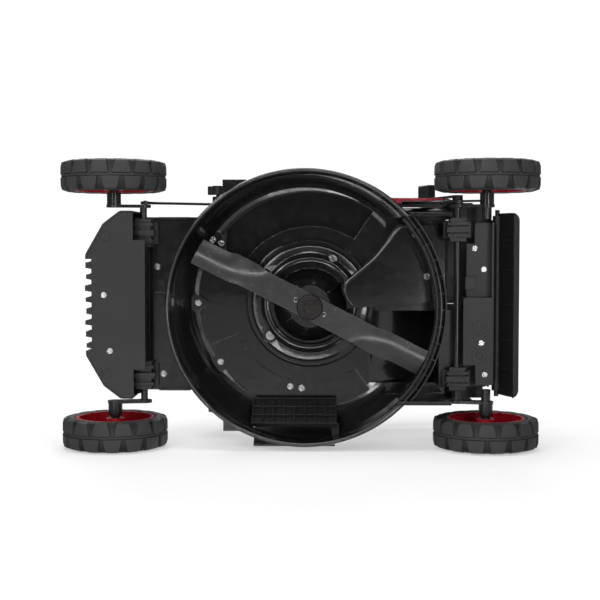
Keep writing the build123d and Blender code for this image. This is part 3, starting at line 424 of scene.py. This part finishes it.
def blade_marks():
    """Two bright punched arcs in the blade's face, one on each side of the hub."""
    low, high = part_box("blade")
    centre = (low + high) / 2
    mark, wire, proud = 0.0034, 0.0006, 0.0004
    steps, ring = 14, 6
    points, faces = [], []
    for along, start in ((-0.0265, 1.0), (0.0265, 4.1)):
        mid_x = centre.x + along * math.cos(BLADE_TURN)
        mid_y = centre.y + along * math.sin(BLADE_TURN)
        base = len(points)
        for i in range(steps + 1):
            a = start + 4.3 * i / steps
            for k in range(ring):
                b = 2 * math.pi * k / ring
                r = mark + wire * math.cos(b)
                z = low.z + proud * math.sin(b)
                points.append((mid_x + r * math.cos(a), mid_y + r * math.sin(a), z))
        for i in range(steps):
            for k in range(ring):
                m = (k + 1) % ring
                p = base + i * ring
                faces.append((p + k, p + m, p + ring + m, p + ring + k))
        faces.append(tuple(base + k for k in range(ring)))
        faces.append(tuple(base + steps * ring + k for k in reversed(range(ring))))
    piece("blade_marks", points, faces, "zinc_steel", "crank")


def tube(name, route, radius, slot, body):
    """A round bead along a smooth line."""
    data = bpy.data.curves.new(name, "CURVE")
    data.dimensions = "3D"
    spline = data.splines.new("NURBS")
    spline.points.add(len(route) - 1)
    for point, place in zip(spline.points, route):
        point.co = (*place, 1.0)
    spline.order_u = 3
    spline.use_endpoint_u = True
    spline.resolution_u = 10
    data.bevel_depth = radius
    data.bevel_resolution = 4
    data.use_fill_caps = True
    curve = bpy.data.objects.new(name + "_line", data)
    bpy.context.scene.collection.objects.link(curve)
    bpy.context.view_layer.update()
    mesh = bpy.data.meshes.new_from_object(curve.evaluated_get(bpy.context.evaluated_depsgraph_get()))
    points = [tuple(v.co) for v in mesh.vertices]
    faces = [tuple(f.vertices) for f in mesh.polygons]
    bpy.data.objects.remove(curve)
    piece(name, points, faces, slot, body, smooth=60.0)


def pan_edge():
    """The rolled edge of the flat pan that is pressed down beside the tunnel."""
    pan_z, bead = 0.1272, 0.0042
    outline = [
        (-0.094, -0.004), (-0.089, -0.004), (-0.080, 0.010), (-0.0745, 0.0305), (-0.100, 0.052),
        (-0.1285, 0.0755), (-0.1430, 0.0925), (-0.160, 0.116), (-0.1745, 0.1345), (-0.190, 0.1345),
        (-0.222, 0.1345),
    ]
    tube("pan_edge", [(x, y, pan_z) for x, y in outline], bead, "gloss_steel", "chassis")


def side_seal():
    """The folded rubber strip that closes the gap between the side grid's end and the deck's wall."""
    outline = [
        (-0.2265, 0.0866), (-0.2055, 0.0866), (-0.2055, 0.1040), (-0.2069, 0.1040), (-0.2069, 0.0880),
        (-0.2265, 0.0880),
    ]
    n = len(outline)
    points = [(x, y, z) for x in (-0.067, -0.0545) for y, z in outline]
    faces = [(k, (k + 1) % n, n + (k + 1) % n, n + k) for k in range(n)]
    faces += [tuple(range(n)), tuple(reversed(range(n, 2 * n)))]
    piece("side_seal", points, faces, "soft_rubber", "chassis", bevel=0.0004)


def pressed_rings():
    """The stepped collar round the engine hole, with sloping sides, turned as one skin under the roof."""
    low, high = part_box("crankshaft")
    crank = (low + high) / 2
    roof = 0.1498
    profile = [
        (0.1140, roof), (0.1105, roof - 0.0010), (0.1015, roof - 0.0075), (0.0990, roof - 0.0084),
        (0.0885, roof - 0.0084), (0.0868, roof - 0.0092), (0.0805, roof - 0.0150), (0.0790, roof - 0.0155),
        (0.0740, roof - 0.0155), (0.0724, roof - 0.0148), (0.0722, roof + 0.0015), (0.0725, roof + 0.0020),
        (0.0735, roof - 0.0140), (0.0790, roof - 0.0147), (0.0865, roof - 0.0080), (0.0990, roof - 0.0076),
        (0.1100, roof - 0.0002),
    ]

    def place(x, y, z):
        return (crank.x + x, crank.y + RING_SHIFT + y, z)

    points, faces = turned(profile, RING_STEPS, place)
    piece("pressed_rings", points, faces, "gloss_steel", "chassis", smooth=60.0)


for corner in ("front_left", "front_right", "rear_left", "rear_right"):
    tyre(corner)
blade()
blade_marks()
pressed_rings()
pan_edge()
side_seal()


# ---------------------------------------------------------------- stage, camera, lights


def floor():
    """A white one-sided plane that glows away from the mower and lets shadow rays through."""
    mesh = bpy.data.meshes.new("stage_floor")
    reach, rows = 6.0, 13
    steps = [-reach + 2 * reach * i / (rows - 1) for i in range(rows)]
    points = [(x, FLOOR_Y, z) for x in steps for z in steps]
    faces = [
        (i * rows + j, i * rows + j + 1, (i + 1) * rows + j + 1, (i + 1) * rows + j)
        for i in range(rows - 1) for j in range(rows - 1)
    ]
    mesh.from_pydata(points, [], faces)
    mesh.update()
    if mesh.polygons[0].normal.y < 0:
        mesh.flip_normals()
    obj = bpy.data.objects.new("stage_floor", mesh)
    bpy.context.scene.collection.objects.link(obj)
    s = Shader("stage_white")
    tone = s.noise(3.0, 2.0, 0.5)
    colour = s.mix(s.span(tone, 0.3, 0.7), rgb(0.86, 0.86, 0.86), rgb(0.90, 0.90, 0.90))
    s.link(colour, s.bsdf.inputs["Base Color"])
    s.bsdf.inputs["Roughness"].default_value = 0.7
    s.bsdf.inputs["Specular IOR Level"].default_value = 0.15
    glow = s.add("ShaderNodeEmission")
    glow.inputs["Strength"].default_value = 1.12
    away = s.add("ShaderNodeVectorMath", operation="LENGTH")
    s.link(s.place, away.inputs[0])
    lit = s.add("ShaderNodeMixShader")
    s.link(s.span(away.outputs["Value"], 0.45, 1.1, 0.40, 1.0), lit.inputs[0])
    s.link(s.bsdf.outputs[0], lit.inputs[1])
    s.link(glow.outputs[0], lit.inputs[2])
    clear = s.add("ShaderNodeBsdfTransparent")
    pick = s.add("ShaderNodeMixShader")
    geometry = s.add("ShaderNodeNewGeometry")
    path = s.add("ShaderNodeLightPath")
    dim = s.math("MULTIPLY", path.outputs["Is Glossy Ray"], 0.72)
    unseen = s.math("MAXIMUM", path.outputs["Is Shadow Ray"], dim)
    hidden = s.math("MAXIMUM", geometry.outputs["Backfacing"], unseen)
    s.link(hidden, pick.inputs[0])
    s.link(lit.outputs[0], pick.inputs[1])
    s.link(clear.outputs[0], pick.inputs[2])
    s.link(pick.outputs[0], s.out.inputs[0])
    mesh.materials.append(s.material)


def aim(obj, at, to, up=UP_Y):
    """Puts a camera or a light at one point, looking at another."""
    forward = (to - at).normalized()
    side = forward.cross(up).normalized()
    if side.length < 0.5:
        side = Vector((1, 0, 0))
    over = side.cross(forward)
    turn = Matrix((side, over, -forward)).transposed().to_4x4()
    obj.matrix_world = Matrix.Translation(at) @ turn


def softbox(name, at, to, width, height, power, up=UP_Y):
    """A rectangular light at one point, facing another, with its size in metres and its power in watts."""
    light = bpy.data.lights.new(name, "AREA")
    light.shape = "RECTANGLE"
    light.size = width
    light.size_y = height
    light.energy = power
    obj = bpy.data.objects.new(name, light)
    bpy.context.scene.collection.objects.link(obj)
    aim(obj, Vector(at), Vector(to), up)


def camera():
    data = bpy.data.cameras.new("camera")
    data.lens = LENS
    data.sensor_width = 36.0
    data.clip_end = 50.0
    obj = bpy.data.objects.new("camera", data)
    bpy.context.scene.collection.objects.link(obj)
    aim(obj, CAMERA_AT, CAMERA_TO)
    bpy.context.scene.camera = obj


def world():
    """White to the camera, dim soft patches to everything else."""
    w = bpy.data.worlds.new("world")
    bpy.context.scene.world = w
    w.use_nodes = True
    tree = w.node_tree
    tree.nodes.clear()
    out = tree.nodes.new("ShaderNodeOutputWorld")
    back = tree.nodes.new("ShaderNodeBackground")
    path = tree.nodes.new("ShaderNodeLightPath")
    place = tree.nodes.new("ShaderNodeTexCoord")
    patches = tree.nodes.new("ShaderNodeTexNoise")
    patches.inputs["Scale"].default_value = 2.6
    patches.inputs["Detail"].default_value = 1.0
    tree.links.new(place.outputs["Generated"], patches.inputs["Vector"])
    room = tree.nodes.new("ShaderNodeMapRange")
    for key, number in (("From Min", 0.46), ("From Max", 0.66), ("To Min", 0.03), ("To Max", 0.34)):
        room.inputs[key].default_value = number
    tree.links.new(patches.outputs["Fac"], room.inputs["Value"])
    mix = tree.nodes.new("ShaderNodeMapRange")
    tree.links.new(room.outputs["Result"], mix.inputs["To Min"])
    mix.inputs["To Max"].default_value = 1.05
    tree.links.new(path.outputs["Is Camera Ray"], mix.inputs["Value"])
    back.inputs["Color"].default_value = (1, 1, 1, 1)
    tree.links.new(mix.outputs["Result"], back.inputs["Strength"])
    tree.links.new(back.outputs[0], out.inputs["Surface"])


camera()
floor()
world()
softbox("key", (1.2, 1.3, -1.4), MIDDLE, 0.7, 0.7, 11.0)
softbox("strip_front", (0.78, 0.1, -1.75), MIDDLE, 0.16, 1.3, 3.4)
softbox("strip_rear", (-0.86, 0.25, -1.70), MIDDLE, 0.16, 1.1, 5.5)
softbox("strip_top", (-0.1, 0.95, -1.65), MIDDLE, 1.5, 0.14, 7.0)
softbox("strip_low", (0.30, -0.80, -1.70), MIDDLE, 1.1, 0.12, 6.0)
for spot, (x, y) in enumerate(((0.55, 0.55), (-0.62, 0.5), (0.30, -0.66), (-0.55, -0.1))):
    softbox("glint_%d" % spot, (x, y, -1.95), MIDDLE, 0.12, 0.12, 0.8)
softbox("overhead", (0.0, 1.9, -0.1), (0.0, 0.0, 0.0), 2.2, 1.4, 34.0, UP_Z)
softbox("roof", (0.2, 1.3, 1.9), MIDDLE, 1.8, 1.2, 26.0)
softbox("roof_side", (-0.9, -1.7, 1.3), MIDDLE, 1.4, 1.2, 22.0, UP_Z)
bpy.context.scene.view_settings.view_transform = "Standard"
